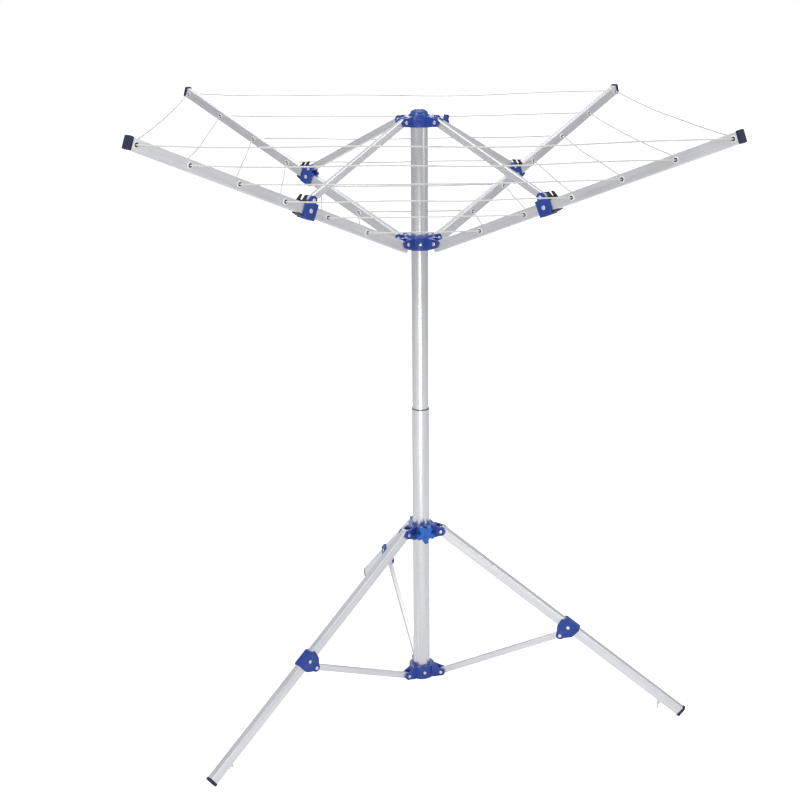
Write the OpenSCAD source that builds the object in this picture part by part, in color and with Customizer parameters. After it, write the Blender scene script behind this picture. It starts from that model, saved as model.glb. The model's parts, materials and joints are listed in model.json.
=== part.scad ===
// Rotary clothesline: a two-part mast on a folding tripod, with four folding arms strung with line.
// Origin: the ground on the mast's axis. +Z is up, and arm_1 points along +X.
// Arms and struts make an even linkage, so the arm hub slides down the mast as the head folds.

/* [Mast] */
// Outside diameter of the lower tube
lower_tube_d = 38; // [34:0.5:45]
// Wall of the lower tube
lower_tube_wall = 1; // [0.8:0.1:1.6]
// Wall of the upper tube, which plugs into the lower one
upper_tube_wall = 1.2; // [0.8:0.1:2]
// Height of the lower tube's mouth
seam_height = 671; // [640:1:720]
// Length of the upper tube held in the lower one
plug_depth = 150; // [80:1:250]

/* [Head] */
// Height of the arm hub's pins
arm_pin_height = 1041.3; // [980:0.1:1140]
// Radius at which the pins of both upper hubs sit
head_pin_radius = 49; // [46:0.5:56]
// Slope of an open arm above the level
arm_slope = 22.06; // [16:0.01:26]
// Length of an arm from its pin to its end
arm_length = 735; // [600:1:800]
// Height of the arm's section
arm_h = 22; // [18:0.5:28]
// Width of the arm's section
arm_w = 15; // [12:0.5:18]
// Height of the arm's pivot above its axis
arm_pivot_rise = 6.5; // [4:0.1:7]
// Distance along the arm of its bracket's bolt
bracket_at = 296; // [260:1:340]
// Height of the strut's pin above the arm's axis
strut_pin_rise = 20.7; // [19.5:0.1:25]
// Height of the strut's section
strut_h = 15; // [12:0.5:15]
// Width of the strut's section
strut_w = 10; // [8:0.5:10]

/* [Line] */
// Diameter of the line
line_d = 3; // [2:0.1:4]
// Number of rounds of line
rounds = 6; // [4:1:6]
// Distance of the first eyelet from the arm's pin
eyelet_first = 125.5; // [110:0.5:140]
// Distance between eyelets along the arm
eyelet_gap = 118.8; // [90:0.1:119]
// Bore of an eyelet
eyelet_bore = 5; // [4.5:0.1:6]
// Drop of the outermost span at its middle
line_sag = 8; // [4:0.5:12]

/* [Tripod] */
// Height of the leg collar's pins
collar_pin_height = 387.1; // [370:0.1:400]
// Radius at which the collar's and the bottom hub's pins sit
leg_pin_radius = 48.5; // [47:0.5:52]
// Slope of a leg below the level
leg_slope = 34.39; // [33:0.01:36]
// Height of the bottom hub's pins
foot_pin_height = 33.3; // [28:0.1:40]
// Height of the leg's section
leg_h = 22; // [18:0.5:26]
// Width of the leg's section
leg_w = 15; // [12:0.5:18]
// Distance along the leg of its clamp's bolt
clamp_at = 355.7; // [330:0.1:380]
// Drop of the brace's pin below the leg's axis
brace_pin_drop = 28.2; // [26:0.1:32]
// Height of the brace's section
brace_h = 14; // [12:0.5:15]
// Width of the brace's section
brace_w = 10; // [8:0.5:10]
// Turn of the first leg about the mast, from the first arm
leg_turn = 25.45; // [0:0.01:60]

/* [Fittings] */
// Thickness of a fork's plates
plate_t = 4; // [3:0.5:5]
// Diameter of every pivot pin
pin_d = 5; // [4:0.5:6]
// Diameter of a rivet's head
rivet_head_d = 8; // [6.5:0.5:9]
// Diameter of the star knob over its lobes
knob_d = 42; // [34:1:46]
// Outside diameter of a foot's split ring
ring_d = 18.2; // [16:0.1:20]
// Diameter of the split ring's wire
ring_wire_d = 2; // [1.6:0.1:2.4]

/* [Hidden] */
$fn = 48;
bar_wall = 1.2;
bar_round = 1.6;
run = 0.05;          // radial room of a pin or tube in its bore
inset = 0.6;         // how far a profile's corner stays inside the round end it runs into
side_gap = 0.3;      // room between a bar and a fork's plate
clear = 0.3;         // room between faces that pass each other
upper_tube_d = lower_tube_d - 2 * lower_tube_wall - 2 * run - 0.1;
upper_tube_r = upper_tube_d / 2;
lower_tube_r = lower_tube_d / 2;
pin_r = pin_d / 2;
bore_r = pin_r + run;
head_r = rivet_head_d / 2;
head_t = 1.5;

// head linkage
strut_pin_back = 1.1;
link_x = bracket_at - strut_pin_back;
link_z = strut_pin_rise - arm_pivot_rise;
link_length = norm([link_x, link_z]);
link_slope = arm_slope + atan2(link_z, link_x);
top_pin_height = arm_pin_height + 2 * link_length * sin(link_slope);
arm_gap = arm_w + 2 * side_gap;
strut_gap = strut_w + 2 * side_gap;
arm_end = 8;                          // metal of an arm beyond its pin
cap_head = 8;                         // length of an arm cap's head
cap_proud = 0.9;                      // how far a cap stands out round its bar
spigot = 15;                          // length of a cap inside its bar
head_slot = head_pin_radius - sqrt(pow(arm_end, 2) + pow(arm_h / 2 - arm_pivot_rise, 2)) - 1;
top_hub_up = 11;
top_hub_down = 11;
top_body_r = 30;
top_ear_r = 9;
arm_hub_up = 14;
arm_hub_down = 16;
arm_body_r = 31;
arm_ear_r = 9.5;
dome_r = 21.5;
dome_rim = 4;
dome_rise = 10;

// bracket on the arm
bracket_length = 34;
bracket_half_h = arm_h / 2 + 5.5;
bracket_half_w = arm_w / 2 + 3;
bracket_ear_r = 9;
channel_floor = strut_pin_rise - strut_h / 2 - 0.4;
bolt_head_d = 9;

// tripod linkage
brace_pin_back = 2.3;
knee_x = clamp_at - brace_pin_back;
knee_r = leg_pin_radius + knee_x * cos(leg_slope) - brace_pin_drop * sin(leg_slope);
knee_z = collar_pin_height - knee_x * sin(leg_slope) - brace_pin_drop * cos(leg_slope);
brace_length = norm([knee_r - leg_pin_radius, knee_z - foot_pin_height]);
brace_slope = atan2(knee_z - foot_pin_height, knee_r - leg_pin_radius);
foot_cap_head = 6;
foot_cut = 1.9;                       // depth of the flat on a foot's lower edge
foot_half_h = leg_h / 2 + cap_proud;
leg_length = (collar_pin_height - foot_half_h * cos(leg_slope) + foot_cut) / sin(leg_slope);
ear_root = 15;                        // where a fork's block starts inside its hub's body
leg_gap = leg_w + 2 * side_gap;
brace_gap = brace_w + 2 * side_gap;
collar_up = 13;
collar_down = 17;
collar_body_r = 28;
collar_ear_r = 10;
collar_slot = leg_pin_radius - leg_h / 2 - 1.5;
hub_up = 14;
hub_down = 14;
hub_floor = 4;
foot_body_r = 29;
foot_ear_r = 9;
foot_slot = leg_pin_radius - brace_h / 2 - 2;
front_turn = leg_turn + 300;          // the tripod's face between two legs
knob_reach = collar_body_r + 4;
knob_t = 13;
knob_lobes = 5;
knob_screw_r = 3;
clamp_half_h = leg_h / 2 + 2.5;
clamp_half_w = leg_w / 2 + 3;
clamp_top = 46;
clamp_ear_r = 9;
lug_back = 54;                        // distance of a ring's lug from the leg's end
lug_t = 2;
lug_drop = 5.5;
lug_hole_r = 2.2;
ring_r = (ring_d - ring_wire_d) / 2;

// eyelets
eyelet_barrel_r = eyelet_bore / 2 + 1;
eyelet_flange_r = 6;
eyelet_flange_t = 1.2;

blue = [0.08, 0.25, 0.62];
light_blue = [0.16, 0.45, 0.8];
dark_blue = [0.05, 0.1, 0.35];
silver = [0.8, 0.81, 0.82];

// ---- shared shapes ----

// a section with rounded corners, drawn across a bar
module section(w, h, r) {
    square([w - 2 * r, h], center = true);
    square([w, h - 2 * r], center = true);
    for (x = [-1, 1], y = [-1, 1])
        translate([x * (w / 2 - r), y * (h / 2 - r)]) circle(r);
}

// runs a section along +X from x0 to x1
module along(x0, x1)
    translate([x0, 0, 0]) rotate([90, 0, 90]) linear_extrude(x1 - x0) children();

// a hollow bar along +X
module bar(x0, x1, w, h)
    difference() {
        along(x0, x1) section(w, h, bar_round);
        along(x0 - 1, x1 + 1) section(w - 2 * bar_wall, h - 2 * bar_wall, bar_round / 2);
    }

// a cylinder across a bar, centred on its axis
module cross(r, length)
    rotate([90, 0, 0]) cylinder(r = r, h = length, center = true);

// a rivet across a fork, with a low head at each end
module rivet(width, r = pin_r) {
    cross(r, width + 2 * head_t);
    for (s = [-1, 1])
        translate([0, s * (width / 2 + head_t / 2), 0]) cross(head_r, head_t);
}

// a side profile, drawn in X and Z, made width thick across Y
module slab(width)
    rotate([90, 0, 0]) translate([0, 0, -width / 2]) linear_extrude(width) children();

// one ear block of a hub: it tapers from the body to the round end at the pin
module ear_block(pin_at, width, up, down, ear_r)
    union() {
        slab(width)
            polygon([[ear_root, -down], [pin_at * 0.64, -down], [pin_at + 1, inset - ear_r],
                     [pin_at + 1, ear_r - inset], [pin_at * 0.64, up], [ear_root, up]]);
        translate([pin_at, 0, 0]) cross(ear_r, width);
    }

// a hub with forks: count ears, slotted for bars of width gap
module forked_hub(count, turn, pin_at, gap, up, down, body_r, ear_r, slot_at, hole_r)
    rotate(turn) difference() {
        union() {
            translate([0, 0, -down]) cylinder(r = body_r, h = up + down);
            for (i = [0 : count - 1]) rotate(i * 360 / count)
                ear_block(pin_at, gap + 2 * plate_t, up, down, ear_r);
        }
        for (i = [0 : count - 1]) rotate(i * 360 / count) {
            translate([slot_at, -gap / 2, -down - 1])
                cube([pin_at, gap, up + down + 2]);
            translate([pin_at, 0, 0]) cross(hole_r, gap + 2 * plate_t + 2);
        }
    }

// ---- places ----

module at_arm(i)
    rotate(90 * (i - 1)) translate([head_pin_radius, 0, arm_pin_height])
        rotate([0, -arm_slope, 0]) children();

module at_strut(i)
    rotate(90 * (i - 1)) translate([head_pin_radius, 0, top_pin_height])
        rotate([0, link_slope, 0]) children();

module at_leg(i)
    rotate(leg_turn + 120 * (i - 1)) translate([leg_pin_radius, 0, collar_pin_height])
        rotate([0, leg_slope, 0]) children();

module at_brace(i)
    rotate(leg_turn + 120 * (i - 1)) translate([leg_pin_radius, 0, foot_pin_height])
        rotate([0, -brace_slope, 0]) children();

// where a foot's ring hangs from its lug
lug_x = leg_length - lug_back;
lug_z = -leg_h / 2 - lug_drop;
ring_at_r = leg_pin_radius + lug_x * cos(leg_slope) + lug_z * sin(leg_slope);
ring_at_z = collar_pin_height - lug_x * sin(leg_slope) + lug_z * cos(leg_slope);

// ---- mast ----

// drawn aluminium tube; an inner bead near its middle is the stop that the upper tube stands on
module lower_tube()
    color(silver) {
        foot = foot_pin_height - hub_down + hub_floor;
        stop_h = 4;
        difference() {
            translate([0, 0, foot]) cylinder(r = lower_tube_r, h = seam_height - foot);
            translate([0, 0, foot - 1])
                cylinder(r = lower_tube_r - lower_tube_wall, h = seam_height);
        }
        translate([0, 0, seam_height - plug_depth - stop_h]) difference() {
            cylinder(r = lower_tube_r - lower_tube_wall / 2, h = stop_h);
            translate([0, 0, -1])
                cylinder(r = lower_tube_r - lower_tube_wall - 2.4, h = stop_h + 2);
        }
    }

module upper_tube()
    color(silver) {
        low = seam_height - plug_depth + 0.1;
        high = top_pin_height + top_hub_up;
        difference() {
            translate([0, 0, low]) cylinder(r = upper_tube_r, h = high - low);
            translate([0, 0, low - 1])
                cylinder(r = upper_tube_r - upper_tube_wall, h = high - low + 2);
        }
    }

module bottom_hub()
    color(blue)
    translate([0, 0, foot_pin_height]) difference() {
        forked_hub(3, leg_turn, leg_pin_radius, brace_gap, hub_up, hub_down, foot_body_r,
                   foot_ear_r, foot_slot, pin_r);
        translate([0, 0, hub_floor - hub_down])
            cylinder(r = lower_tube_r, h = hub_up + hub_down);
        rotate(front_turn) translate([lower_tube_r - 1, 0, 2])
            rotate([0, 90, 0]) cylinder(r = 2, h = foot_body_r);
    }

module bottom_hub_pins()
    color(silver) translate([0, 0, foot_pin_height]) {
        for (i = [0 : 2]) rotate(leg_turn + 120 * i) translate([leg_pin_radius, 0, 0])
            rivet(brace_gap + 2 * plate_t);
        rotate(front_turn) translate([0, 0, 2]) rotate([0, 90, 0]) {
            translate([0, 0, lower_tube_r + 0.2]) cylinder(r = 2, h = foot_body_r - lower_tube_r);
            translate([0, 0, foot_body_r]) cylinder(r = head_r - 0.4, h = head_t + 0.2);
        }
    }

// ---- head ----

module top_hub()
    color(blue) translate([0, 0, top_pin_height]) difference() {
        forked_hub(4, 0, head_pin_radius, strut_gap, top_hub_up, top_hub_down, top_body_r,
                   top_ear_r, head_slot, pin_r);
        translate([0, 0, -top_hub_down - 1])
            cylinder(r = upper_tube_r, h = top_hub_up + top_hub_down + 2);
        // shallow slot in the front face
        rotate(-45) translate([top_body_r - 1.6, -7, 1]) cube([4, 14, 4.5]);
    }

module top_cap()
    color(blue) translate([0, 0, top_pin_height + top_hub_up]) {
        ball = (pow(dome_r, 2) + pow(dome_rise, 2)) / (2 * dome_rise);
        intersection() {
            cylinder(r = dome_r, h = dome_rim + dome_rise);
            translate([0, 0, dome_rim + dome_rise - ball]) sphere(r = ball, $fn = 96);
        }
        translate([0, 0, -12])
            cylinder(r = upper_tube_r - upper_tube_wall, h = 12);
    }

module top_hub_pins()
    color(silver) for (i = [0 : 3]) rotate(90 * i)
        translate([head_pin_radius, 0, top_pin_height]) rivet(strut_gap + 2 * plate_t);

module strut(i)
    color(silver) at_strut(i) {
        difference() {
            union() {
                for (x = [0, link_length]) translate([x, 0, 0]) cross(strut_h / 2, strut_w);
                along(0, link_length) section(strut_w, strut_h, bar_round);
            }
            for (x = [0, link_length]) translate([x, 0, 0]) cross(bore_r, strut_w + 2);
            along(strut_h / 2, link_length - strut_h / 2)
                section(strut_w - 2 * bar_wall, strut_h - 2 * bar_wall, bar_round / 2);
        }
    }

// small upright catch on the second strut, which keeps the end of the line
module line_hook()
    color(blue) at_strut(2) translate([34, 0, strut_h / 2]) {
        slab(strut_w) polygon([[-9, 0], [9, 0], [9, 3], [4, 5], [4, 14], [-4, 14], [-4, 5], [-9, 3]]);
    }

module arm_hub()
    color(blue) translate([0, 0, arm_pin_height]) difference() {
        union() {
            forked_hub(4, 0, head_pin_radius, arm_gap, arm_hub_up - 4, arm_hub_down, arm_body_r,
                       arm_ear_r, head_slot, pin_r);
            translate([0, 0, arm_hub_up - 5]) cylinder(r1 = arm_body_r, r2 = arm_body_r - 5, h = 5);
        }
        translate([0, 0, -arm_hub_down - 1])
            cylinder(r = upper_tube_r + run, h = arm_hub_up + arm_hub_down + 2);
        rotate(-45) translate([upper_tube_r, 0, -3]) rotate([0, 90, 0])
            cylinder(r = 1.6, h = arm_body_r);
    }

module arm_hub_pins()
    color(silver) translate([0, 0, arm_pin_height]) {
        for (i = [0 : 3]) rotate(90 * i) translate([head_pin_radius, 0, 0])
            rivet(arm_gap + 2 * plate_t);
        rotate(-45) translate([0, 0, -3]) rotate([0, 90, 0]) {
            translate([0, 0, upper_tube_r + 0.4])
                cylinder(r = 1.6, h = arm_body_r - upper_tube_r - 0.4);
            translate([0, 0, arm_body_r]) cylinder(r = 3, h = 1.4);
        }
    }

// ---- arms ----

arm_bar_end = arm_length - cap_head;

module arm(i)
    color(silver) at_arm(i) difference() {
        translate([0, 0, -arm_pivot_rise]) difference() {
            bar(-arm_end, arm_bar_end, arm_w, arm_h);
            for (k = [0 : rounds - 1]) translate([eyelet_first + k * eyelet_gap, 0, 0])
                cross(eyelet_barrel_r, arm_w + 2);
            translate([bracket_at, 0, 0]) cross(pin_r, arm_w + 2);
        }
        cross(bore_r, arm_w + 2);
    }

module arm_cap(i)
    color(dark_blue) at_arm(i) translate([0, 0, -arm_pivot_rise]) {
        along(arm_bar_end, arm_length)
            section(arm_w + 2 * cap_proud, arm_h + 2 * cap_proud, bar_round + cap_proud);
        // two tongues, above and below the outer eyelet
        along(arm_bar_end - spigot, arm_bar_end) difference() {
            section(arm_w - 2 * bar_wall - 0.1, arm_h - 2 * bar_wall - 0.1, bar_round / 2);
            square([arm_w, 2 * eyelet_barrel_r + 0.4], center = true);
        }
    }

module eyelets(i)
    color("white") at_arm(i) for (k = [0 : rounds - 1])
        translate([eyelet_first + k * eyelet_gap, 0, -arm_pivot_rise]) difference() {
            union() {
                cross(eyelet_barrel_r, arm_w + 2 * eyelet_flange_t);
                for (s = [-1, 1]) translate([0, s * (arm_w + eyelet_flange_t) / 2, 0])
                    cross(eyelet_flange_r, eyelet_flange_t);
            }
            cross(eyelet_bore / 2, arm_w + 10);
        }

// moulded block that is bolted round the arm and holds the strut's outer pin
module bracket(i)
    color(blue) at_arm(i) translate([bracket_at, 0, -arm_pivot_rise]) difference() {
        union() {
            slab(2 * bracket_half_w) polygon([
                [-bracket_length / 2 + 2, -bracket_half_h], [bracket_length / 2 - 5, -bracket_half_h],
                [bracket_length / 2, -bracket_half_h + 5], [bracket_length / 2, bracket_half_h - 4],
                [bracket_length / 2 - 3, bracket_half_h], [-bracket_length / 2, bracket_half_h]]);
            translate([-strut_pin_back, 0, 0]) {
                slab(2 * bracket_half_w)
                    polygon([[-bracket_ear_r, 0], [bracket_ear_r, 0],
                             [bracket_ear_r, strut_pin_rise], [-bracket_ear_r, strut_pin_rise]]);
                translate([0, 0, strut_pin_rise]) cross(bracket_ear_r, 2 * bracket_half_w);
            }
        }
        along(-bracket_length, bracket_length) section(arm_w, arm_h, bar_round);
        translate([-bracket_length, -strut_gap / 2, channel_floor])
            cube([2 * bracket_length, strut_gap, 40]);
        cross(pin_r, 2 * bracket_half_w + 2);
        translate([-strut_pin_back, 0, strut_pin_rise]) cross(pin_r, 2 * bracket_half_w + 2);
    }

module bracket_pins(i)
    color(silver) at_arm(i) translate([bracket_at, 0, -arm_pivot_rise]) {
        cross(pin_r, 2 * bracket_half_w + 2 * head_t);
        for (s = [-1, 1]) translate([0, s * (bracket_half_w + head_t / 2), 0])
            cross(bolt_head_d / 2, head_t);
        translate([-strut_pin_back, 0, strut_pin_rise]) rivet(2 * bracket_half_w);
    }

// black lock on the bracket's outer edge: two cheeks with finger tips, joined under the strut's channel
module wedge(i)
    color([0.05, 0.05, 0.05]) at_arm(i)
    translate([bracket_at + bracket_length / 2, 0, -arm_pivot_rise]) difference() {
        union() {
            slab(2 * bracket_half_w - 2) polygon([
                [0, arm_h / 2], [10, arm_h / 2], [10, arm_h / 2 + 1.5], [3, 26],
                [0.5, 27], [-1, 25.5], [1.5, 18], [0, 16]]);
            slab(2 * bracket_half_w - 2) polygon([
                [0, -arm_h / 2], [12, -arm_h / 2], [12, -arm_h / 2 - 1.6], [0, -arm_h / 2 - 4]]);
        }
        translate([-bracket_length, -strut_gap / 2, channel_floor])
            cube([2 * bracket_length, strut_gap, 40]);
    }

// ---- line ----

// place of round k's eyelet on an arm: radius and height
function eyelet_r(k) = head_pin_radius + (eyelet_first + k * eyelet_gap) * cos(arm_slope)
    + arm_pivot_rise * sin(arm_slope);
function eyelet_z(k) = arm_pin_height + (eyelet_first + k * eyelet_gap) * sin(arm_slope)
    - arm_pivot_rise * cos(arm_slope);
mouth = arm_w / 2 + eyelet_flange_t + line_d / 2;

// a point beside arm i, at radius r and height z, and s to the side
function beside(i, r, z, s) =
    [r * cos(90 * i) - s * sin(90 * i), r * sin(90 * i) + s * cos(90 * i), z];
function span_sag(k) = line_sag * pow(eyelet_r(k) / eyelet_r(rounds - 1), 2);
// one round: through each eyelet, then down to the middle of the span and up to the next arm
function round_path(k) = [for (i = [0 : 3]) each [
    beside(i, eyelet_r(k), eyelet_z(k), -mouth),
    beside(i, eyelet_r(k), eyelet_z(k), mouth),
    (beside(i, eyelet_r(k), eyelet_z(k), mouth) + beside(i + 1, eyelet_r(k), eyelet_z(k), -mouth)) / 2
        - [0, 0, span_sag(k)]]];

line_sides = 8;
function unit(v) = v / norm(v);
function ring_at(p, t) = let (u = unit(cross(t, [0, 0, 1])), v = cross(u, t))
    [for (j = [0 : line_sides - 1])
        p + line_d / 2 * (cos(360 * j / line_sides) * u + sin(360 * j / line_sides) * v)];

// a closed tube along a closed path
module closed_tube(path) {
    n = len(path);
    points = [for (i = [0 : n - 1])
        let (before = unit(path[i] - path[(i + n - 1) % n]), after = unit(path[(i + 1) % n] - path[i]))
        each ring_at(path[i], unit(before + after))];
    faces = [for (i = [0 : n - 1], j = [0 : line_sides - 1])
        let (a = i * line_sides, b = ((i + 1) % n) * line_sides, c = (j + 1) % line_sides)
        [a + j, a + c, b + c, b + j]];
    polyhedron(points, faces, convexity = 4);
}

module line()
    color([0.88, 0.86, 0.8]) for (k = [0 : rounds - 1]) closed_tube(round_path(k));

// ---- tripod ----

module leg_collar()
    color(blue) translate([0, 0, collar_pin_height]) difference() {
        union() {
            forked_hub(3, leg_turn, leg_pin_radius, leg_gap, collar_up, collar_down, collar_body_r,
                       collar_ear_r, collar_slot, pin_r);
            rotate(front_turn) rotate([0, 90, 0]) cylinder(r = 8, h = knob_reach - clear);
        }
        translate([0, 0, -collar_down - 1])
            cylinder(r = lower_tube_r + run, h = collar_up + collar_down + 2);
        rotate(front_turn) rotate([0, 90, 0]) cylinder(r = knob_screw_r + run, h = knob_reach + 1);
    }

// stub rivets: each is held in one plate and ends at the plate's inner face
module collar_pins()
    color(silver) for (i = [0 : 2]) rotate(leg_turn + 120 * i)
        translate([leg_pin_radius, 0, collar_pin_height]) for (s = [-1, 1]) {
            translate([0, s * (leg_gap + plate_t) / 2, 0]) cross(pin_r, plate_t);
            translate([0, s * (leg_gap / 2 + plate_t + head_t / 2), 0]) cross(head_r, head_t);
        }

// star knob and its clamping screw, which presses on the tube
module knob()
    color(light_blue) translate([0, 0, collar_pin_height]) rotate(front_turn) rotate([0, 90, 0]) {
        translate([0, 0, lower_tube_r + clear])
            cylinder(r = knob_screw_r, h = knob_reach - lower_tube_r - clear);
        translate([0, 0, knob_reach]) difference() {
            union() {
                cylinder(r = knob_d / 2 - 8.5, h = knob_t);
                for (j = [0 : knob_lobes - 1]) rotate(360 * j / knob_lobes)
                    translate([knob_d / 2 - 5.6, 0, 0]) cylinder(r = 5.6, h = knob_t);
            }
            translate([0, 0, knob_t - 2]) cylinder(r = 5, h = 3);
        }
    }

module brace(i)
    color(silver) at_brace(i) {
        difference() {
            union() {
                for (x = [0, brace_length]) translate([x, 0, 0]) cross(brace_h / 2, brace_w);
                along(0, brace_length) section(brace_w, brace_h, bar_round);
            }
            for (x = [0, brace_length]) translate([x, 0, 0]) cross(bore_r, brace_w + 2);
            along(brace_h / 2, brace_length - brace_h / 2)
                section(brace_w - 2 * bar_wall, brace_h - 2 * bar_wall, bar_round / 2);
        }
    }

leg_bar_end = leg_length - foot_cap_head;

module leg(i)
    color(silver) at_leg(i) difference() {
        union() {
            difference() {
                union() {
                    along(0, leg_bar_end) section(leg_w, leg_h, bar_round);
                    cross(leg_h / 2, leg_w);
                }
                along(-leg_h, leg_bar_end + 1)
                    section(leg_w - 2 * bar_wall, leg_h - 2 * bar_wall, bar_round / 2);
            }
            // lug for the foot's ring
            translate([lug_x, 0, 0]) slab(lug_t) {
                polygon([[-7, -leg_h / 2 + bar_wall / 2], [7, -leg_h / 2 + bar_wall / 2],
                         [4, lug_z], [-4, lug_z]]);
                translate([0, lug_z]) circle(4);
            }
        }
        cross(bore_r, leg_w + 2);
        translate([clamp_at, 0, 0]) cross(pin_r, leg_w + 2);
        translate([lug_x, 0, lug_z]) cross(lug_hole_r, lug_t + 2);
    }

// foot cap: a plug in the leg's end, with a flat where it stands on the ground
module leg_cap(i)
    color(dark_blue) difference() {
        at_leg(i) {
            along(leg_bar_end, leg_length)
                section(leg_w + 2 * cap_proud, leg_h + 2 * cap_proud, bar_round + cap_proud);
            along(leg_bar_end - spigot, leg_bar_end)
                section(leg_w - 2 * bar_wall - 0.1, leg_h - 2 * bar_wall - 0.1, bar_round / 2);
        }
        translate([-1000, -1000, -50]) cube([2000, 2000, 50]);
    }

// moulded shield bolted over the leg; its narrow end holds the brace's outer pin
module leg_clamp(i)
    color(blue) at_leg(i) translate([clamp_at, 0, 0]) difference() {
        union() {
            slab(2 * clamp_half_w) polygon([
                [-clamp_top / 2 + 7, clamp_half_h], [clamp_top / 2 - 3, clamp_half_h],
                [clamp_top / 2, clamp_half_h - 3], [clamp_top / 2 - 3, -clamp_half_h],
                [-brace_pin_back + clamp_ear_r - inset, -brace_pin_drop - 1],
                [-brace_pin_back - clamp_ear_r + inset, -brace_pin_drop - 1],
                [-clamp_top / 2 + 2, -clamp_half_h], [-clamp_top / 2, clamp_half_h - 7]]);
            translate([-brace_pin_back, 0, -brace_pin_drop]) cross(clamp_ear_r, 2 * clamp_half_w);
        }
        along(-clamp_top, clamp_top) section(leg_w, leg_h, bar_round);
        translate([-clamp_top, -brace_gap / 2, -brace_pin_drop - clamp_ear_r - 1])
            cube([2 * clamp_top, brace_gap, brace_pin_drop + clamp_ear_r - clamp_half_h]);
        cross(pin_r, 2 * clamp_half_w + 2);
        translate([-brace_pin_back, 0, -brace_pin_drop]) cross(pin_r, 2 * clamp_half_w + 2);
    }

module clamp_pins(i)
    color(silver) at_leg(i) translate([clamp_at, 0, 0]) {
        rivet(2 * clamp_half_w);
        translate([-brace_pin_back, 0, -brace_pin_drop]) rivet(2 * clamp_half_w);
    }

module foot_ring(i)
    color([0.6, 0.57, 0.5]) rotate(leg_turn + 120 * (i - 1))
    translate([ring_at_r, 0, ring_at_z - ring_r]) rotate([0, 90, 0])
        rotate_extrude() translate([ring_r, 0]) circle(ring_wire_d / 2, $fn = 24);

lower_tube();
bottom_hub();
bottom_hub_pins();
upper_tube();
top_hub();
top_cap();
top_hub_pins();
line();
line_hook();
arm_hub();
arm_hub_pins();
leg_collar();
collar_pins();
knob();
for (i = [1 : 4]) {
    strut(i);
    arm(i);
    arm_cap(i);
    eyelets(i);
    bracket(i);
    bracket_pins(i);
    wedge(i);
}
for (i = [1 : 3]) {
    brace(i);
    leg(i);
    leg_cap(i);
    leg_clamp(i);
    clamp_pins(i);
    foot_ring(i);
}
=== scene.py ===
import json
import math
import random

import bmesh
import bpy
from mathutils import Matrix, Vector

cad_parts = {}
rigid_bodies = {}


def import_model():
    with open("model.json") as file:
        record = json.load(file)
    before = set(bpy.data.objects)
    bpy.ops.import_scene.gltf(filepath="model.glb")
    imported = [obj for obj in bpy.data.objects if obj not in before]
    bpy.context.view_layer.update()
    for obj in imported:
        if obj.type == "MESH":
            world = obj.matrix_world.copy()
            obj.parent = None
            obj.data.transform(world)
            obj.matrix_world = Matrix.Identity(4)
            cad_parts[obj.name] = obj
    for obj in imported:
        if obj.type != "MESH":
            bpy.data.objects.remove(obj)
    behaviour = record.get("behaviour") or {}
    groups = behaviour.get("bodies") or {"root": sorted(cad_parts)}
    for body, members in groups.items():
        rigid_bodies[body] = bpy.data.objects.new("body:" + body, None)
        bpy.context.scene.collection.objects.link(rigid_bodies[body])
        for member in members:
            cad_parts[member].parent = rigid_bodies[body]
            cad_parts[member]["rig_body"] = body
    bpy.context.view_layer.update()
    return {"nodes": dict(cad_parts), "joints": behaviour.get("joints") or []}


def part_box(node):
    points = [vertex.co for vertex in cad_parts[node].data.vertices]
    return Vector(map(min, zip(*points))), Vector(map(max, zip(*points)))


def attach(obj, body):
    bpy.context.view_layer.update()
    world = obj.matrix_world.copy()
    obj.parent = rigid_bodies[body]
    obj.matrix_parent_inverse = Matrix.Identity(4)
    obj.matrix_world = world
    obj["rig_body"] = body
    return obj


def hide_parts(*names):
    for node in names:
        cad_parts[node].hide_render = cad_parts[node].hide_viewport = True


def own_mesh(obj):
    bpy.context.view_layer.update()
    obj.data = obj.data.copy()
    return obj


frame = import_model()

# Camera, lights and floor.
# The clothesline stands on a plain pale floor in soft light from large panels, and is seen from
# a little above the height of its arms. Floor and room look lighter directly than in the metal.
bpy.ops.object.select_all(action="DESELECT")
bpy.ops.object.camera_add(
    location=(1.8145, -2.0849, 1.5656),
    rotation=(math.radians(72.29), 0, math.radians(40.10)),
)
camera = bpy.context.object
camera.data.lens = 59.69
camera.data.sensor_width = 36
camera.data.shift_x = -0.0513
camera.data.shift_y = 0.0033
bpy.context.scene.camera = camera
bpy.context.scene.view_settings.view_transform = "Standard"

bpy.ops.mesh.primitive_circle_add(vertices=64, radius=30, fill_type="NGON", location=(0, 0, -0.0005))
floor = bpy.context.object
floor.name = "floor"
floor_paint = bpy.data.materials.new("floor_paint")
floor_paint.use_nodes = True
tree = floor_paint.node_tree
floor_shader = tree.nodes["Principled BSDF"]
floor_shader.inputs["Roughness"].default_value = 0.9
floor_shader.inputs["Specular IOR Level"].default_value = 0.0
floor_shader.inputs["Emission Color"].default_value = (1, 1, 1, 1)
floor_looks = tree.nodes.new("ShaderNodeLightPath")
floor_tone = tree.nodes.new("ShaderNodeMapRange")
floor_tone.inputs["To Min"].default_value = 0.8
floor_tone.inputs["To Max"].default_value = 0.9
floor_glow = tree.nodes.new("ShaderNodeMapRange")
floor_glow.inputs["To Min"].default_value = 0.0
floor_glow.inputs["To Max"].default_value = 0.85
tree.links.new(floor_looks.outputs["Is Camera Ray"], floor_tone.inputs["Value"])
tree.links.new(floor_looks.outputs["Is Camera Ray"], floor_glow.inputs["Value"])
tree.links.new(floor_tone.outputs["Result"], floor_shader.inputs["Base Color"])
tree.links.new(floor_glow.outputs["Result"], floor_shader.inputs["Emission Strength"])
floor.data.materials.append(floor_paint)

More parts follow.
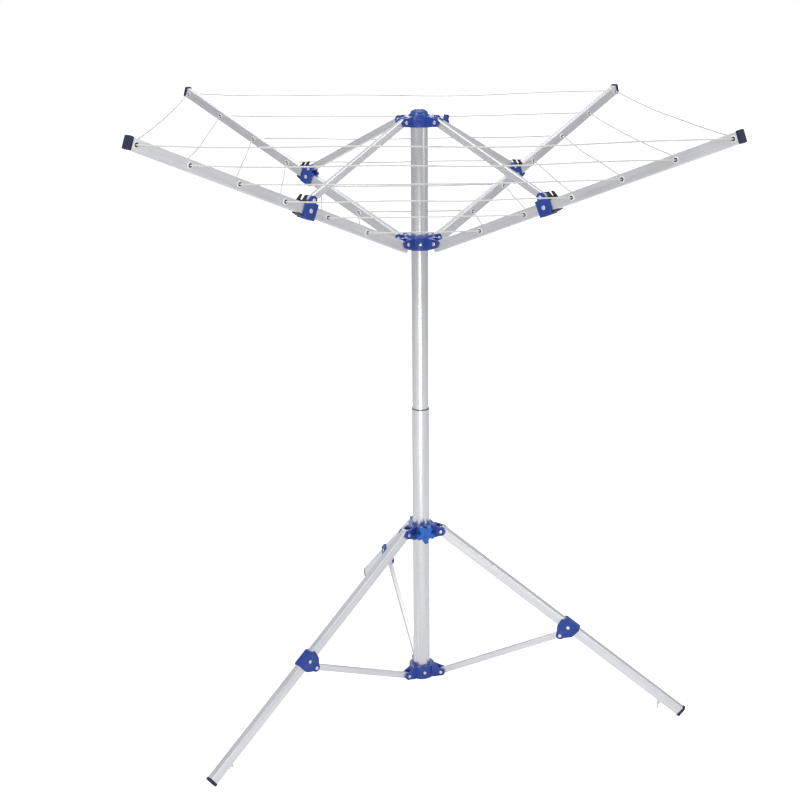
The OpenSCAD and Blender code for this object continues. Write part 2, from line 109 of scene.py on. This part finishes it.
world = bpy.data.worlds.new("studio")
bpy.context.scene.world = world
world.use_nodes = True
tree = world.node_tree
room = tree.nodes["Background"]
room.inputs["Color"].default_value = (0.82, 0.84, 0.87, 1)
room.inputs["Strength"].default_value = 0.62
backdrop = tree.nodes.new("ShaderNodeBackground")
backdrop.inputs["Color"].default_value = (1, 1, 1, 1)
backdrop.inputs["Strength"].default_value = 1.0
who_looks = tree.nodes.new("ShaderNodeLightPath")
pick = tree.nodes.new("ShaderNodeMixShader")
tree.links.new(who_looks.outputs["Is Camera Ray"], pick.inputs[0])
tree.links.new(room.outputs[0], pick.inputs[1])
tree.links.new(backdrop.outputs[0], pick.inputs[2])
tree.links.new(pick.outputs[0], tree.nodes["World Output"].inputs[0])


def light_panel(name, place, aim, size, power):
    bpy.ops.object.light_add(type="AREA", location=place)
    panel = bpy.context.object
    panel.name = name
    panel.data.shape = "RECTANGLE"
    panel.data.size, panel.data.size_y = size
    panel.data.energy = power
    panel.visible_camera = False
    panel.rotation_euler = (Vector(aim) - Vector(place)).to_track_quat("-Z", "Y").to_euler()


light_panel("key_panel", (0.4, -3.4, 2.8), (0, 0, 0.8), (1.4, 2.4), 48)
light_panel("side_panel", (3.2, 0.8, 2.0), (0, 0, 0.8), (0.7, 2.2), 16)
light_panel("top_panel", (0, 0, 3.8), (0, 0, 0.8), (2.4, 2.4), 34)
light_panel("low_panel", (1.25, -1.45, 0.1), (0, 0, 1.0), (0.3, 0.9), 9)
light_panel("back_panel", (-2.4, 2.6, 2.2), (0, 0, 0.8), (0.8, 2.0), 14)


# Mast tubes.
# Two drawn aluminium tubes, left as drawn: satin, with fine lengthwise streaks and faint handling
# marks. The upper one plugs into the lower one, whose mouth has a thin grey plastic lip.
def drawn_aluminium(name, along, tone, roughness):
    """Satin aluminium with streaks along the way it was drawn. Tone is its middle brightness."""
    paint = bpy.data.materials.new(name)
    paint.use_nodes = True
    nodes, links = paint.node_tree.nodes, paint.node_tree.links
    shader = nodes["Principled BSDF"]
    shader.inputs["Metallic"].default_value = 1
    shader.inputs["Anisotropic"].default_value = 0.35
    coords = nodes.new("ShaderNodeTexCoord")
    lay = nodes.new("ShaderNodeMapping")
    lay.vector_type = "TEXTURE"
    lay.inputs["Rotation"].default_value = Vector(along).to_track_quat("X", "Z").to_euler()
    lay.inputs["Scale"].default_value = (0.9, 0.03, 0.03)
    streaks = nodes.new("ShaderNodeTexNoise")
    streaks.inputs["Scale"].default_value = 6
    streaks.inputs["Detail"].default_value = 8
    clouds = nodes.new("ShaderNodeTexNoise")
    clouds.inputs["Scale"].default_value = 14
    clouds.inputs["Detail"].default_value = 5
    tones = nodes.new("ShaderNodeValToRGB")
    tones.color_ramp.elements[0].position = 0.3
    tones.color_ramp.elements[1].position = 0.72
    tones.color_ramp.elements[0].color = (tone * 0.9, tone * 0.905, tone * 0.915, 1)
    tones.color_ramp.elements[1].color = (tone * 1.04, tone * 1.04, tone * 1.04, 1)
    rough = nodes.new("ShaderNodeMapRange")
    rough.inputs["To Min"].default_value = roughness - 0.06
    rough.inputs["To Max"].default_value = roughness + 0.12
    bump = nodes.new("ShaderNodeBump")
    bump.inputs["Strength"].default_value = 0.12
    bump.inputs["Distance"].default_value = 0.0003
    links.new(coords.outputs["Object"], lay.inputs["Vector"])
    links.new(coords.outputs["Object"], clouds.inputs["Vector"])
    links.new(lay.outputs["Vector"], streaks.inputs["Vector"])
    links.new(streaks.outputs["Fac"], tones.inputs["Fac"])
    links.new(streaks.outputs["Fac"], bump.inputs["Height"])
    links.new(clouds.outputs["Fac"], rough.inputs["Value"])
    links.new(tones.outputs["Color"], shader.inputs["Base Color"])
    links.new(rough.outputs["Result"], shader.inputs["Roughness"])
    links.new(bump.outputs["Normal"], shader.inputs["Normal"])
    return paint


def coat_node(node, paint):
    """Gives a CAD node, whose shape is right as it is, a material."""
    mesh = frame["nodes"][node].data
    mesh.materials.clear()
    mesh.materials.append(paint)


tube_metal = drawn_aluminium("drawn_tube_aluminium", (0, 0, 1), 0.86, 0.24)
coat_node("lower_tube", tube_metal)
coat_node("upper_tube", tube_metal)

tube_low, tube_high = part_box("lower_tube")
tube_radius = (tube_high.x - tube_low.x) / 2


def lathe(name, profile, axis_turn, place, steps=48):
    """A turned piece: a profile of (radius, height) points spun once round Z, then turned and placed."""
    bpy.ops.object.select_all(action="DESELECT")
    bpy.ops.mesh.primitive_circle_add(vertices=3, radius=0.001)
    piece = bpy.context.object
    piece.name = name
    bpy.ops.object.mode_set(mode="EDIT")
    mesh = bmesh.from_edit_mesh(piece.data)
    bmesh.ops.delete(mesh, geom=mesh.verts[:], context="VERTS")
    ring = [mesh.verts.new((radius, 0, height)) for radius, height in profile]
    for a, b in zip(ring, ring[1:] + ring[:1]):
        mesh.edges.new((a, b))
    for v in mesh.verts:
        v.select_set(True)
    mesh.select_flush(True)
    bmesh.update_edit_mesh(piece.data)
    bpy.ops.mesh.spin(steps=steps, angle=2 * math.pi, center=(0, 0, 0), axis=(0, 0, 1))
    bpy.ops.mesh.select_all(action="SELECT")
    bpy.ops.mesh.remove_doubles(threshold=1e-6)
    bpy.ops.mesh.normals_make_consistent(inside=False)
    bpy.ops.object.mode_set(mode="OBJECT")
    piece.data.transform(Matrix.Translation(place) @ axis_turn.to_4x4())
    bpy.ops.object.shade_smooth_by_angle(angle=math.radians(40))
    return piece


def moulded_plastic(name, colour, roughness=0.38, grain=0.25, coat=0.15):
    """Injection-moulded polypropylene: an even colour with slow clouding and a fine spark grain."""
    paint = bpy.data.materials.new(name)
    paint.use_nodes = True
    nodes, links = paint.node_tree.nodes, paint.node_tree.links
    shader = nodes["Principled BSDF"]
    shader.inputs["Coat Weight"].default_value = coat
    shader.inputs["Coat Roughness"].default_value = 0.25
    coords = nodes.new("ShaderNodeTexCoord")
    clouds = nodes.new("ShaderNodeTexNoise")
    clouds.inputs["Scale"].default_value = 28
    clouds.inputs["Detail"].default_value = 4
    spark = nodes.new("ShaderNodeTexNoise")
    spark.inputs["Scale"].default_value = 1600
    spark.inputs["Detail"].default_value = 2
    tones = nodes.new("ShaderNodeValToRGB")
    tones.color_ramp.elements[0].position = 0.3
    tones.color_ramp.elements[1].position = 0.7
    tones.color_ramp.elements[0].color = tuple(c * 0.82 for c in colour) + (1,)
    tones.color_ramp.elements[1].color = tuple(min(1, c * 1.14) for c in colour) + (1,)
    rough = nodes.new("ShaderNodeMapRange")
    rough.inputs["To Min"].default_value = roughness - 0.06
    rough.inputs["To Max"].default_value = roughness + 0.1
    bump = nodes.new("ShaderNodeBump")
    bump.inputs["Strength"].default_value = grain
    bump.inputs["Distance"].default_value = 0.0002
    for texture in (clouds, spark):
        links.new(coords.outputs["Object"], texture.inputs["Vector"])
    links.new(clouds.outputs["Fac"], tones.inputs["Fac"])
    links.new(clouds.outputs["Fac"], rough.inputs["Value"])
    links.new(spark.outputs["Fac"], bump.inputs["Height"])
    links.new(tones.outputs["Color"], shader.inputs["Base Color"])
    links.new(rough.outputs["Result"], shader.inputs["Roughness"])
    links.new(bump.outputs["Normal"], shader.inputs["Normal"])
    return paint


lip_plastic = moulded_plastic("lip_plastic", (0.14, 0.145, 0.15))
mouth_lip = lathe(
    "mouth_lip",
    [
        (tube_radius - 0.0008, -0.0012),
        (tube_radius + 0.0004, -0.0012),
        (tube_radius + 0.0006, 0.0002),
        (tube_radius + 0.0002, 0.0012),
        (tube_radius - 0.0008, 0.0012),
    ],
    Matrix.Identity(3),
    (0, 0, tube_high.z),
)
mouth_lip.data.materials.append(lip_plastic)
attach(mouth_lip, "mast")


# Hubs and collar.
# Royal-blue polypropylene mouldings with forks for the bars, which leave their mould with rounded
# edges: the top hub, the hub of the arms, the tripod's collar and bottom hub, and the line's catch.
def moulded(node, edge, paint, sink=0.0, rim=0.0016, least=0.00006):
    """A moulding with the CAD node's shape and rounded edges. Upright faces larger than least are
    sunk by sink, inside a sloping border as wide as rim."""
    cad = frame["nodes"][node]
    bpy.ops.object.select_all(action="DESELECT")
    piece = bpy.data.objects.new("moulded_" + node, cad.data.copy())
    bpy.context.scene.collection.objects.link(piece)
    piece.data.materials.clear()
    bpy.context.view_layer.objects.active = piece
    piece.select_set(True)
    bpy.ops.object.mode_set(mode="EDIT")
    bpy.ops.mesh.select_all(action="SELECT")
    bpy.ops.mesh.remove_doubles(threshold=2e-6)
    bpy.ops.mesh.dissolve_limited(angle_limit=math.radians(1.5))
    if sink:
        bpy.ops.mesh.select_all(action="DESELECT")
        bpy.ops.mesh.select_mode(type="FACE")
        mesh = bmesh.from_edit_mesh(piece.data)
        for face in mesh.faces:
            face.select_set(abs(face.normal.z) < 0.02 and face.calc_area() > least)
        bmesh.update_edit_mesh(piece.data)
        bpy.ops.mesh.inset(thickness=rim, depth=-sink, use_even_offset=True)
    bpy.ops.object.mode_set(mode="OBJECT")
    rounding = piece.modifiers.new("rounding", "BEVEL")
    rounding.width = edge
    rounding.segments = 2
    rounding.limit_method = "ANGLE"
    rounding.angle_limit = math.radians(38)
    rounding.use_clamp_overlap = True
    bpy.ops.object.modifier_apply(modifier="rounding")
    bpy.ops.object.shade_smooth_by_angle(angle=math.radians(35))
    piece.data.materials.append(paint)
    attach(piece, cad["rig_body"])
    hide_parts(node)
    return piece


royal_blue = (0.008, 0.045, 0.30)
blue_plastic = moulded_plastic("royal_blue_plastic", royal_blue)
for hub in ("top_hub", "arm_hub", "leg_collar", "bottom_hub"):
    moulded(hub, 0.0008, blue_plastic)
moulded("line_hook", 0.0008, blue_plastic)

# Domed cap.
# A smooth glossy blue cap plugged into the upper tube's end, with a turned groove round its edge.
cap_plastic = moulded_plastic("cap_plastic", (0.008, 0.06, 0.30), roughness=0.2, grain=0.05, coat=0.5)
cap_low, cap_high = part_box("top_cap")
cap_radius = (cap_high.x - cap_low.x) / 2
cap_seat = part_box("top_hub")[1].z
cap_rise = cap_high.z - cap_seat
dome = [(0.0, cap_rise)]
for step in range(1, 11):
    turn = math.radians(9 * step)
    dome.append((cap_radius * 0.86 * math.sin(turn), 0.0045 + (cap_rise - 0.0045) * math.cos(turn)))
dome += [
    (cap_radius * 0.88, 0.0035), (cap_radius * 0.95, 0.0036), (cap_radius - 0.0004, 0.0030),
    (cap_radius, 0.0022), (cap_radius, 0.0), (0.016, 0.0), (0.016, -0.011), (0.0, -0.011),
]
top_cap = lathe("top_cap_dome", dome, Matrix.Identity(3), (0, 0, cap_seat))
top_cap.data.materials.append(cap_plastic)
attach(top_cap, "head")
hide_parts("top_cap")

# Star knob.
# A lighter blue five-lobed knob on the collar's clamping screw.
knob_plastic = moulded_plastic("knob_plastic", (0.012, 0.13, 0.52), roughness=0.33)
moulded("knob", 0.0012, knob_plastic)


# Rivets and screws.
# Zinc-plated steel: rivets with low rounded heads are the pivots, and bolts hold the brackets
# and clamps to their bars.
def plated_steel(name, colour, roughness):
    """Plated steel whose brightness varies finely with its crystals."""
    paint = bpy.data.materials.new(name)
    paint.use_nodes = True
    nodes, links = paint.node_tree.nodes, paint.node_tree.links
    shader = nodes["Principled BSDF"]
    shader.inputs["Metallic"].default_value = 1
    coords = nodes.new("ShaderNodeTexCoord")
    crystals = nodes.new("ShaderNodeTexNoise")
    crystals.inputs["Scale"].default_value = 420
    crystals.inputs["Detail"].default_value = 6
    tones = nodes.new("ShaderNodeValToRGB")
    tones.color_ramp.elements[0].color = tuple(c * 0.8 for c in colour) + (1,)
    tones.color_ramp.elements[1].color = tuple(min(1, c * 1.12) for c in colour) + (1,)
    rough = nodes.new("ShaderNodeMapRange")
    rough.inputs["To Min"].default_value = roughness - 0.08
    rough.inputs["To Max"].default_value = roughness + 0.12
    links.new(coords.outputs["Object"], crystals.inputs["Vector"])
    links.new(crystals.outputs["Fac"], tones.inputs["Fac"])
    links.new(crystals.outputs["Fac"], rough.inputs["Value"])
    links.new(tones.outputs["Color"], shader.inputs["Base Color"])
    links.new(rough.outputs["Result"], shader.inputs["Roughness"])
    return paint


rivet_steel = plated_steel("rivet_steel", (0.86, 0.86, 0.87), 0.3)
pin_nodes = ["top_hub_pins", "arm_hub_pins", "collar_pins", "bottom_hub_pins"]
pin_nodes += [f"bracket_pins_{i}" for i in range(1, 5)]
pin_nodes += [f"clamp_pins_{i}" for i in range(1, 4)]
for node in pin_nodes:
    moulded(node, 0.0007, rivet_steel)


# Bars.
# Box-section aluminium bars, sawn to length and drilled: four arms, four struts, three legs and
# three braces. The die leaves streaks along each of them.
joints = {joint["name"]: joint for joint in frame["joints"]}


def pivot(joint):
    return Vector(joints[joint]["pos_m"])


bar_tone = 0.9
bar_roughness = 0.34
arm_root_radius = 0.0514
arm_root_height = 1.0343
leg_slope = math.radians(34.39)
for i in range(1, 5):
    fold = "head_fold" if i == 1 else f"strut_{i}_pivot"
    strut_way = pivot(f"arm_{i}_pivot") - pivot(fold)
    outward = Vector((strut_way.x, strut_way.y, 0)).normalized()
    cap_low, cap_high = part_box(f"arm_cap_{i}")
    arm_root = outward * arm_root_radius + Vector((0, 0, arm_root_height))
    arm_way = (cap_low + cap_high) / 2 - arm_root
    bar_metal = drawn_aluminium(f"strut_{i}_aluminium", strut_way, bar_tone, bar_roughness)
    coat_node(f"strut_{i}", bar_metal)
    bar_metal = drawn_aluminium(f"arm_{i}_aluminium", arm_way, bar_tone, bar_roughness)
    coat_node(f"arm_{i}", bar_metal)
for i in range(1, 4):
    fold = "tripod_fold" if i == 1 else f"brace_{i}_pivot"
    brace_way = pivot(f"leg_{i}_pivot") - pivot(fold)
    outward = Vector((brace_way.x, brace_way.y, 0)).normalized()
    leg_way = outward * math.cos(leg_slope) - Vector((0, 0, math.sin(leg_slope)))
    bar_metal = drawn_aluminium(f"brace_{i}_aluminium", brace_way, bar_tone, bar_roughness)
    coat_node(f"brace_{i}", bar_metal)
    bar_metal = drawn_aluminium(f"leg_{i}_aluminium", leg_way, bar_tone, bar_roughness)
    coat_node(f"leg_{i}", bar_metal)

# End caps.
# Dark blue plugs pressed into the outer ends of arms and legs.
end_plastic = moulded_plastic("end_cap_plastic", (0.006, 0.007, 0.045), roughness=0.45)
for i in range(1, 5):
    moulded(f"arm_cap_{i}", 0.0016, end_plastic)
for i in range(1, 4):
    moulded(f"leg_cap_{i}", 0.0012, end_plastic)

# Arm brackets and leg clamps.
# Blue polypropylene blocks bolted round the bars, with the struts' and braces' outer pins. Their
# large upright sides are sunk a little, inside a sloping border.
for i in range(1, 5):
    moulded(f"bracket_{i}", 0.0007, blue_plastic, sink=0.0005, least=0.0002)
for i in range(1, 4):
    moulded(f"leg_clamp_{i}", 0.0007, blue_plastic, sink=0.0013, rim=0.0024, least=0.0003)

# Bracket clips.
# Black nylon clips on the outer edge of each bracket.
black_plastic = moulded_plastic("black_nylon", (0.012, 0.012, 0.013), roughness=0.42)
for i in range(1, 5):
    moulded(f"wedge_{i}", 0.00025, black_plastic)

# Eyelets.
# White bushes pressed through the arms, which keep the line off the sharp edges of the holes.
# Each has a rounded flange on both sides. The faces round its bore are painted dark brown: painted shade
# standing for the shade inside the hole.
eyelet_plastic = moulded_plastic("eyelet_white", (0.82, 0.82, 0.8), roughness=0.3, grain=0.08)
# dark brown painted shade for the faces round the bore, where the inside of the hole lies in shade
bore_painted_shade = moulded_plastic("eyelet_bore_painted_shade", (0.05, 0.042, 0.035), roughness=0.5)
eyelet_count = 6
flange_radius = 0.006
bore_radius = 0.0025
flange_face = (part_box("eyelets_1")[1].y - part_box("eyelets_1")[0].y) / 2
flange_thickness = 0.0012
flange_edge = 0.0011
bore_shade_radius = 0.0039
arm_side = flange_face - flange_thickness


def eyelet_centres(arm):
    """The eyelets' centres along an arm, from the hub outwards."""
    low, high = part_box(f"eyelets_{arm}")
    outward = Matrix.Rotation(math.pi / 2 * (arm - 1), 3, "Z") @ Vector((1, 0, 0))
    reach = [abs(corner @ outward) for corner in (low, high)]
    first, last = min(reach) + flange_radius, max(reach) - flange_radius
    z_first, z_last = low.z + flange_radius, high.z - flange_radius
    centres = []
    for n in range(eyelet_count):
        share = n / (eyelet_count - 1)
        height = z_first + (z_last - z_first) * share
        centres.append(outward * (first + (last - first) * share) + Vector((0, 0, height)))
    return centres


half_profile = [(0.0040, flange_face - 0.0001), (0.0043, flange_face)]
for step in range(5):
    turn = math.radians(22.5 * step)
    half_profile.append(
        (
            flange_radius - flange_edge + flange_edge * math.sin(turn),
            flange_face - flange_edge + flange_edge * math.cos(turn),
        )
    )
half_profile += [(flange_radius, arm_side), (0.0036, arm_side)]
inner_lip = [(bore_radius, flange_face - 0.0022), (0.0032, flange_face - 0.0009)]
eyelet_profile = half_profile + [(r, -z) for r, z in reversed(half_profile)]
eyelet_profile += [(r, -z) for r, z in reversed(inner_lip)] + inner_lip
pattern_eyelet = lathe(
    "eyelet_pattern", eyelet_profile, Matrix.Rotation(math.pi / 2, 3, "X"), (0, 0, 0), 28
)
pattern_eyelet.data.materials.append(eyelet_plastic)
pattern_eyelet.data.materials.append(bore_painted_shade)
# faces close to the bore's axis take the dark painted shade, the rest stay white
for face in pattern_eyelet.data.polygons:
    face.material_index = int(math.hypot(face.center.x, face.center.z) < bore_shade_radius)
for arm in range(1, 5):
    bushes = []
    for centre in eyelet_centres(arm):
        bush = pattern_eyelet.copy()
        bush.data = pattern_eyelet.data.copy()
        bpy.context.scene.collection.objects.link(bush)
        turn = Matrix.Rotation(math.pi / 2 * (arm - 1), 4, "Z")
        bush.data.transform(Matrix.Translation(centre) @ turn)
        bushes.append(bush)
    bpy.ops.object.select_all(action="DESELECT")
    for bush in bushes:
        bush.select_set(True)
    bpy.context.view_layer.objects.active = bushes[0]
    bpy.ops.object.join()
    bushes = bpy.context.object
    bushes.name = f"arm_{arm}_eyelets"
    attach(bushes, f"arm_{arm}")
    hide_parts(f"eyelets_{arm}")
bpy.data.objects.remove(pattern_eyelet)


# Line.
# A 3 mm plastic-coated cord, threaded through the eyelets in six rounds. Each span hangs a
# little. It is made as half spans, so that each half can lie along its own arm when the
# head folds.
def cord_covering(name, colour):
    """Ivory PVC over a twisted core: shallow slanting ridges that follow the cord's own UV map."""
    paint = bpy.data.materials.new(name)
    paint.use_nodes = True
    nodes, links = paint.node_tree.nodes, paint.node_tree.links
    shader = nodes["Principled BSDF"]
    shader.inputs["Roughness"].default_value = 0.55
    place = nodes.new("ShaderNodeUVMap")
    place.uv_map = "along"
    ridges = nodes.new("ShaderNodeTexWave")
    ridges.wave_type = "BANDS"
    ridges.bands_direction = "DIAGONAL"
    ridges.inputs["Scale"].default_value = 1.0
    tones = nodes.new("ShaderNodeValToRGB")
    tones.color_ramp.elements[0].color = tuple(c * 0.92 for c in colour) + (1,)
    tones.color_ramp.elements[1].color = tuple(min(1, c * 1.05) for c in colour) + (1,)
    bump = nodes.new("ShaderNodeBump")
    bump.inputs["Strength"].default_value = 0.15
    bump.inputs["Distance"].default_value = 0.0004
    links.new(place.outputs["UV"], ridges.inputs["Vector"])
    links.new(ridges.outputs["Fac"], tones.inputs["Fac"])
    links.new(ridges.outputs["Fac"], bump.inputs["Height"])
    links.new(tones.outputs["Color"], shader.inputs["Base Color"])
    links.new(bump.outputs["Normal"], shader.inputs["Normal"])
    return paint


def add_tube(mesh, uvs, path, radius, sides=10):
    """Sweeps a round section along a path and caps its ends, with UVs in turns and cord diameters."""
    rings, gone = [], 0.0
    for n, point in enumerate(path):
        before, after = path[max(n - 1, 0)], path[min(n + 1, len(path) - 1)]
        way = (after - before).normalized()
        side = way.cross(Vector((0, 0, 1)))
        side = side.normalized() if side.length > 1e-4 else Vector((1, 0, 0))
        up = side.cross(way)
        gone += (point - before).length if n else 0.0
        ring = []
        for s in range(sides):
            turn = 2 * math.pi * s / sides
            ring.append(mesh.verts.new(point + radius * (math.cos(turn) * side + math.sin(turn) * up)))
        rings.append((ring, gone / (2 * radius)))
    for (low, v_low), (high, v_high) in zip(rings, rings[1:]):
        for s in range(sides):
            t = (s + 1) % sides
            face = mesh.faces.new((low[s], low[t], high[t], high[s]))
            face.smooth = True
            corners = ((s, v_low), (s + 1, v_low), (s + 1, v_high), (s, v_high))
            for loop, (u, v) in zip(face.loops, corners):
                loop[uvs].uv = (u / sides, v)
    mesh.faces.new(rings[0][0])
    mesh.faces.new(reversed(rings[-1][0]))


def cord_piece(name, paths, radius, paint, sides=10):
    """One piece of cord or wire, made of a tube along each path."""
    mesh = bmesh.new()
    uvs = mesh.loops.layers.uv.new("along")
    for path in paths:
        add_tube(mesh, uvs, path, radius, sides)
    bmesh.ops.recalc_face_normals(mesh, faces=mesh.faces)
    data = bpy.data.meshes.new(name)
    mesh.to_mesh(data)
    mesh.free()
    piece = bpy.data.objects.new(name, data)
    bpy.context.scene.collection.objects.link(piece)
    data.materials.append(paint)
    return piece


line_paint = cord_covering("line_ivory", (0.66, 0.65, 0.62))
line_radius = 0.0015
outer_sag = 0.008
mouth = flange_face + line_radius
most_sway = 0.0022
half_steps = 12
random.seed(7)
span_sway = {}
outermost = eyelet_centres(1)[-1].x
for arm in range(1, 5):
    outward = Matrix.Rotation(math.pi / 2 * (arm - 1), 3, "Z") @ Vector((1, 0, 0))
    sideways = Matrix.Rotation(math.pi / 2, 3, "Z") @ outward
    centres = eyelet_centres(arm)
    arm_way = (centres[-1] - centres[0]).normalized()
    for side, label in ((1, "left"), (-1, "right")):
        # a span has the number of the arm at its right-hand end, and both its halves sway alike
        span = arm if side == 1 else (arm + 2) % 4 + 1
        paths = []
        for n, centre in enumerate(centres):
            sway = span_sway.setdefault((span, n), random.uniform(-most_sway, most_sway))
            start = centre + sideways * side * mouth
            reach = Vector((centre.x, centre.y, 0)).length
            end = Vector((0, 0, centre.z)) + sideways * side * reach + outward * mouth
            sag = outer_sag * (reach / outermost) ** 2
            path = [centre + sideways * side * 0.0002, centre + sideways * side * (mouth - 0.001)]
            for step in range(half_steps + 1):
                u = step / (2 * half_steps)
                point = start.lerp(end, u)
                point.z -= 4 * sag * u * (1 - u)
                point.z += sway * math.sin(4 * math.pi * u) * (reach / outermost) * side
                path.append(point)
            paths.append(path)
        half = cord_piece(f"line_{arm}_{label}", paths, line_radius, line_paint)
        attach(half, f"arm_{arm}")
        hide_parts("line")
        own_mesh(half)

# Split rings.
# Two turns of plated spring wire, hung from a lug near each foot for a peg or a tie.
ring_metal = plated_steel("ring_wire", (0.62, 0.58, 0.5), 0.35)
wire_radius = 0.00062
ring_turns = 1.9
ring_points = 60
turn_pitch = 0.00105
for i in range(1, 4):
    hole = pivot(f"ring_{i}_swing")
    low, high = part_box(f"foot_ring_{i}")
    middle = (low + high) / 2
    turn_radius = (high.z - low.z) / 2 - 0.001
    outward = Vector((hole.x, hole.y, 0)).normalized()
    sideways = Vector((-outward.y, outward.x, 0))
    coil = []
    for n in range(ring_points + 1):
        share = n / ring_points
        turn = 2 * math.pi * ring_turns * share + 0.6
        coil.append(
            middle
            + turn_radius * (math.cos(turn) * sideways + math.sin(turn) * Vector((0, 0, 1)))
            + outward * turn_pitch * (share - 0.5)
        )
    split_ring = cord_piece(f"split_ring_{i}", [coil], wire_radius, ring_metal, 8)
    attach(split_ring, f"ring_{i}")
    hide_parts(f"foot_ring_{i}")
